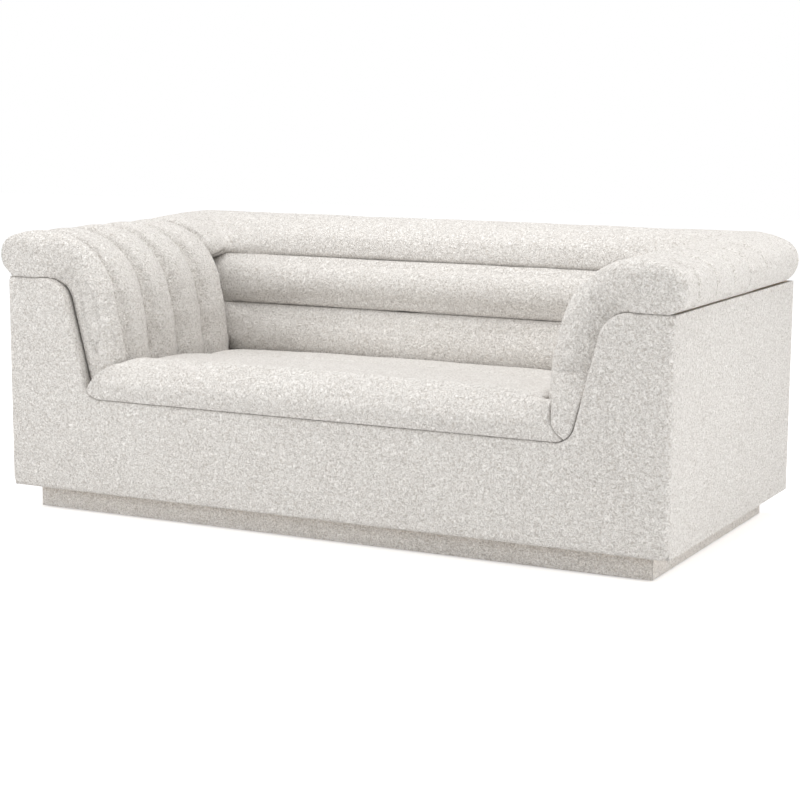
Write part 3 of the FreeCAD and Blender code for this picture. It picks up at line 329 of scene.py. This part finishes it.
class Pad:
    """How a pad is made: its fullness, the size of its squares, how far it may swell, the axis
    across its channel, and whether its front end is free or meets another pad."""

    def __init__(self, fill, square, limit, across=None, free_front=False):
        self.fill = fill
        self.square = square
        self.limit = limit
        self.across = across
        self.free_front = free_front


def pad_plans():
    plans = {
        "seat_pad": Pad(fill=0.55, square=0.006, limit=0.008),
        "back_channel_lower": Pad(fill=0.65, square=0.007, limit=0.014, across=UP_BACK),
        "back_channel_upper": Pad(fill=0.65, square=0.006, limit=0.014, across=UP_BACK),
        "back_top_roll": Pad(fill=0.7, square=0.007, limit=0.008),
    }
    for side in ("left", "right"):
        front = Pad(fill=0.7, square=0.005, limit=0.012, across=ALONG_ARM, free_front=True)
        plans["%s_arm_channel_1" % side] = front
        for number in range(2, 6):
            plan = Pad(fill=0.7, square=0.006, limit=0.014, across=ALONG_ARM)
            plans["%s_arm_channel_%d" % (side, number)] = plan
    return plans


PADS = pad_plans()


def rigid_surface():
    """A search tree of every node that isn't a pad: the pads lie on these."""
    form = bmesh.new()
    for name, node in frame["nodes"].items():
        if name not in PADS:
            form.from_mesh(node.data)
    tree = BVHTree.FromBMesh(form)
    form.free()
    return tree


def crown_share(point, low, high, plan):
    """1 on the crown of a channel and 0 in its grooves, so that the grooves stay as deep, and 1
    all over a pad with no groove or with a free front."""
    across = plan.across
    if across is None or plan.free_front:
        return 1.0
    off_middle = 2 * (point[across] - low[across]) / (high[across] - low[across]) - 1
    return max(1 - off_middle ** 2, 0)


def swell(piece, held, plan, low, high):
    """Cloth simulation: pressure from inside, no weight, the held points pinned, and no point
    moved further than the pad's limit."""
    start = [vert.co.copy() for vert in piece.data.vertices]
    group = piece.vertex_groups.new(name="held")
    group.add(held, 1.0, "REPLACE")
    cloth = piece.modifiers.new("cloth", "CLOTH")
    cloth.settings.quality = 4
    cloth.settings.mass = 0.3
    cloth.settings.tension_stiffness = 12
    cloth.settings.compression_stiffness = 12
    cloth.settings.shear_stiffness = 4
    cloth.settings.bending_stiffness = 0.4
    cloth.settings.vertex_group_mass = "held"
    cloth.settings.use_pressure = True
    cloth.settings.uniform_pressure_force = PRESSURE
    cloth.settings.effector_weights.gravity = 0
    cloth.collision_settings.use_collision = False
    cloth.point_cache.frame_start = 1
    cloth.point_cache.frame_end = FRAMES
    for number in range(1, FRAMES + 1):
        scene.frame_set(number)
    keep_result(piece)
    piece.vertex_groups.clear()
    scene.frame_set(1)
    for vert, before in zip(piece.data.vertices, start):
        move = vert.co - before
        limit = plan.limit * crown_share(before, low, high, plan)
        if move.length > limit:
            vert.co = before + move * (limit / move.length)


def uneven(piece):
    """Hand-made softness: swells under 3 mm high that differ along the pads."""
    wide_depth = 0.0018
    wide_waves = 6.0
    fine_depth = 0.0009
    fine_waves = 17.0
    elsewhere = Vector((3, 5, 7))
    for vert, normal in [(vert, vert.normal.copy()) for vert in piece.data.vertices]:
        wide = noise.noise(vert.co * wide_waves)
        fine = noise.noise(vert.co * fine_waves + elsewhere)
        vert.co += normal * (wide_depth * wide + fine_depth * fine)


def sew_seat(piece):
    """Sewn lines over the seat from arm to arm and along its front, where the cloth is drawn in."""
    top_depth = 0.004
    front_depth = 0.002
    width = 0.008
    facing = 0.7
    for vert, normal in [(vert, vert.normal.copy()) for vert in piece.data.vertices]:
        if normal.z > facing:
            away = min(abs(vert.co.y - seam) for seam in SEAT_SEAMS)
            vert.co.z -= top_depth * math.exp(-(away / width) ** 2)
        elif normal.y < -facing:
            away = abs(vert.co.z - FRONT_SEAM)
            vert.co.y += front_depth * math.exp(-(away / width) ** 2)


def close_crease(piece):
    """Brings the front edge of an arm's front channel up to the rounded edge of the panel."""
    reach = 0.014
    forward = 0.007
    _, panel_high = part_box("front_panel_cover")
    panel_back = panel_high.y
    for vert in piece.data.vertices:
        share = min(max((panel_back + reach - vert.co.y) / reach, 0), 1)
        if vert.co.y > panel_back - forward and vert.co.z < panel_high.z:
            vert.co.y -= forward * share


def draw_in(piece, low, high, plan, hard):
    """Pulls a channel towards the frame beside its grooves, where thread holds the cloth, by a
    share of its thickness that fades out over a width."""
    width = 0.022
    pull = 0.13
    for vert in piece.data.vertices:
        place = vert.co[plan.across]
        away = high[plan.across] - place
        if not plan.free_front:
            away = min(away, place - low[plan.across])
        if away > width:
            continue
        under, _, _, _ = hard.find_nearest(vert.co)
        move = (under - vert.co) * (pull * (1 - max(away, 0) / width) ** 2)
        move[plan.across] = 0
        vert.co += move


def fenced(piece, low, high, across):
    """Presses a pad flat where it meets the pads beside it."""
    for vert in piece.data.vertices:
        vert.co[across] = min(max(vert.co[across], low[across]), high[across])


def make_padding(node, plan, hard):
    """A padded piece: the CAD form in even small squares, swollen and a little uneven."""
    low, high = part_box(node)
    piece = finished(form_of(node), node + "_boucle", "boucle", [node])
    apply(piece, "REMESH", mode="VOXEL", voxel_size=plan.square, adaptivity=0.0)
    resting = {vert.index: vert.co.copy() for vert in piece.data.vertices
               if hard.find_nearest(vert.co, PINNED_WITHIN)[0] is not None}
    swell(piece, list(resting), plan, low, high)
    uneven(piece)
    if plan.across is not None:
        draw_in(piece, low, high, plan, hard)
    for index, place in resting.items():
        piece.data.vertices[index].co = place
    if node == "seat_pad":
        sew_seat(piece)
    if node == "left_arm_channel_1":
        close_crease(piece)
    if plan.across is not None:
        fenced(piece, low, high, plan.across)
    return piece


def make_paddings():
    hard = rigid_surface()
    for node, plan in PADS.items():
        make_padding(node, plan, hard)


# Covers with flat faces: the panels of the body and the plinth.
def flat_faces(form):
    """Joins the triangles of each flat face."""
    flat_within = math.radians(1)
    bmesh.ops.dissolve_limit(form, angle_limit=flat_within, verts=form.verts, edges=form.edges)


def round_edges(form, chosen, radius):
    """Rounds the edges of a form that a test picks out."""
    segments = 4
    edges = [edge for edge in form.edges if chosen(edge)]
    bmesh.ops.bevel(form, geom=edges, offset=radius, offset_type="OFFSET", affect="EDGES",
                    segments=segments, profile=0.5, material=-1, clamp_overlap=True)


def sharp(edge):
    sharp_from = math.radians(50)
    return edge.is_manifold and edge.calc_face_angle() > sharp_from


def make_front_panel():
    """The U-shaped cover, with its front outline rounded as over thin foam."""
    radius = 0.011
    near_front = 0.001
    form = form_of("front_panel_cover")
    flat_faces(form)
    low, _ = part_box("front_panel_cover")

    def in_front(edge):
        return sharp(edge) and all(vert.co.y < low.y + near_front for vert in edge.verts)

    round_edges(form, in_front, radius)
    piece = finished(form, "front_panel_boucle", "boucle", ["front_panel_cover"])


def make_panel(node, radius):
    """A cover of even thickness, rounded along the edges of its outer face."""
    on_face = 0.0005
    low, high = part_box(node)
    thin = 0 if high.x - low.x < high.y - low.y else 1
    face = low[thin] if low[thin] < 0 else high[thin]
    form = form_of(node)
    flat_faces(form)

    def outer(edge):
        return sharp(edge) and all(abs(vert.co[thin] - face) < on_face for vert in edge.verts)

    round_edges(form, outer, radius)
    piece = finished(form, node + "_boucle", "boucle", [node])


def make_panels():
    for node in ("left_side_cover", "right_side_cover"):
        make_panel(node, radius=0.0015)
    for node in ("back_cover", "plinth_cover_left", "plinth_cover_right", "plinth_cover_front",
                 "plinth_cover_back"):
        make_panel(node, radius=0.003)


# Inner soft parts. Only the dust cloths can be seen, from below.
def box_form(low, high):
    form = bmesh.new()
    bmesh.ops.create_cube(form, size=1)
    size = high - low
    bmesh.ops.scale(form, vec=size, verts=form.verts)
    bmesh.ops.translate(form, vec=(low + high) / 2, verts=form.verts)
    return form


def make_seat_foam():
    radius = 0.012
    form = box_form(*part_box("seat_foam"))
    round_edges(form, sharp, radius)
    piece = finished(form, "seat_foam_block", "foam", ["seat_foam"])


def make_copy(node, name, slot):
    form = form_of(node)
    flat_faces(form)
    return finished(form, name, slot, [node])


def make_inner_parts():
    make_seat_foam()
    make_copy("seat_felt", "seat_felt_layer", "felt")
    make_copy("seat_webbing_long", "seat_straps_long", "webbing")
    make_copy("seat_webbing_cross", "seat_straps_cross", "webbing")
    cloth = make_copy("dust_cloths", "dust_cloth_bays", "dust_cloth")


# Room: a plain white floor that keeps the shadow, and soft light from above and two sides.
def make_floor():
    """Pale floor that takes the shadow and reads as white where nothing shades it."""
    half_side = 12
    room = Finish("floor")
    grain = room.between(room.noise(3, detail=2.0).outputs["Fac"], 0.3, 0.7)
    colour = room.blend(grain, (0.80, 0.80, 0.80, 1), (0.82, 0.82, 0.82, 1))
    diffuse = room.add("ShaderNodeBsdfDiffuse", {"Color": colour})
    lift = room.add("ShaderNodeEmission", {"Color": (1, 1, 1, 1), "Strength": 0.6})
    both = room.add("ShaderNodeAddShader", {0: diffuse.outputs[0], 1: lift.outputs[0]})
    inputs = {0: seen_directly(room), 1: diffuse.outputs[0], 2: both.outputs[0]}
    mix = room.add("ShaderNodeMixShader", inputs)
    output = room.add("ShaderNodeOutputMaterial")
    room.tree.links.new(mix.outputs[0], output.inputs[0])
    form = bmesh.new()
    bmesh.ops.create_grid(form, x_segments=1, y_segments=1, size=half_side)
    mesh = bpy.data.meshes.new("floor")
    form.to_mesh(mesh)
    form.free()
    mesh.materials.append(room.material)
    floor = bpy.data.objects.new("floor", mesh)
    scene.collection.objects.link(floor)


def seen_directly(finish):
    """1 for rays from the camera, mirrors and glass, which see a white background."""
    path = finish.add("ShaderNodeLightPath").outputs
    share = finish.math("MAXIMUM", path["Is Camera Ray"], path["Is Glossy Ray"])
    return finish.math("MAXIMUM", share, path["Is Transmission Ray"])


def make_world():
    """Even light from all round, and pure white where the camera or a reflection sees it."""
    light = 0.57
    white = 1.0
    world = bpy.data.worlds.new("studio")
    world.use_nodes = True
    tree = world.node_tree
    tree.nodes.clear()
    background = tree.nodes.new("ShaderNodeBackground")
    background.inputs["Color"].default_value = (1, 1, 1, 1)
    path = tree.nodes.new("ShaderNodeLightPath").outputs
    seen = path["Is Camera Ray"]
    for name in ("Is Glossy Ray", "Is Transmission Ray"):
        larger = tree.nodes.new("ShaderNodeMath")
        larger.operation = "MAXIMUM"
        tree.links.new(seen, larger.inputs[0])
        tree.links.new(path[name], larger.inputs[1])
        seen = larger.outputs[0]
    strength = tree.nodes.new("ShaderNodeMapRange")
    strength.inputs["To Min"].default_value = light
    strength.inputs["To Max"].default_value = white
    tree.links.new(seen, strength.inputs["Value"])
    tree.links.new(strength.outputs["Result"], background.inputs["Strength"])
    output = tree.nodes.new("ShaderNodeOutputWorld")
    tree.links.new(background.outputs[0], output.inputs[0])
    scene.world = world


def add_lamp(name, place, aim, size, power):
    """A square soft lamp of a size in metres and a power in watts, turned towards a point."""
    data = bpy.data.lights.new(name, "AREA")
    data.shape = "SQUARE"
    data.size = size
    data.energy = power
    lamp = bpy.data.objects.new(name, data)
    scene.collection.objects.link(lamp)
    direction = Vector(aim) - Vector(place)
    turn = direction.to_track_quat("-Z", "Y").to_matrix().to_4x4()
    lamp.matrix_world = Matrix.Translation(place) @ turn


def light_studio():
    make_world()
    add_lamp("overhead", place=(0.2, -0.2, 3.6), aim=(0, 0, 0.4), size=3.0, power=95)
    add_lamp("right_side", place=(4.5, -0.6, 0.7), aim=(0, 0, 0.3), size=1.3, power=70)
    add_lamp("left_front", place=(-3.0, -4.5, 1.6), aim=(0, 0, 0.3), size=2.5, power=100)


place_camera()
dress_frame()
make_paddings()
make_front_panel()
make_panels()
make_inner_parts()
make_floor()
light_studio()
scene.view_settings.view_transform = "Standard"
